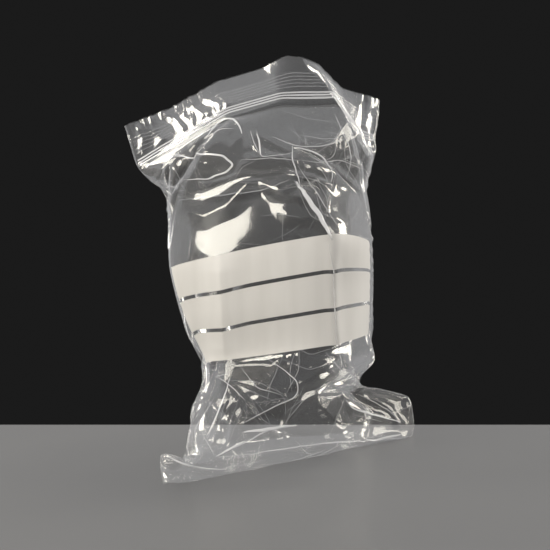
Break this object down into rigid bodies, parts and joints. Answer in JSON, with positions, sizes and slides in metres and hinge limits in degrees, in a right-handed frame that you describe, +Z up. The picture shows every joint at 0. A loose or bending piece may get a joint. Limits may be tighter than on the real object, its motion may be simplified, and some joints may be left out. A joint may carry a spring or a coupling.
{
  "type": "zipper bag",
  "caption": "Clear press-to-close film bag with three white write-on panels, zip shut, puffed with air and standing crumpled.",
  "frame": {"origin": "middle of the bag's footprint box, on the floor", "axes": "+Z up from the floor, -Y towards the printed front wall, +X to the right of the front"},
  "size_m": [0.144, 0.094, 0.207],
  "materials": {
    "clear_film": "clear glossy polythene film, faintly milky where it is creased",
    "white_ink": "satin opaque white print"
  },
  "bodies": {
    "root": {"bag_film": "clear_film", "write_panel_top": "white_ink", "write_panel_middle": "white_ink", "write_panel_bottom": "white_ink"}
  },
  "joints": []
}
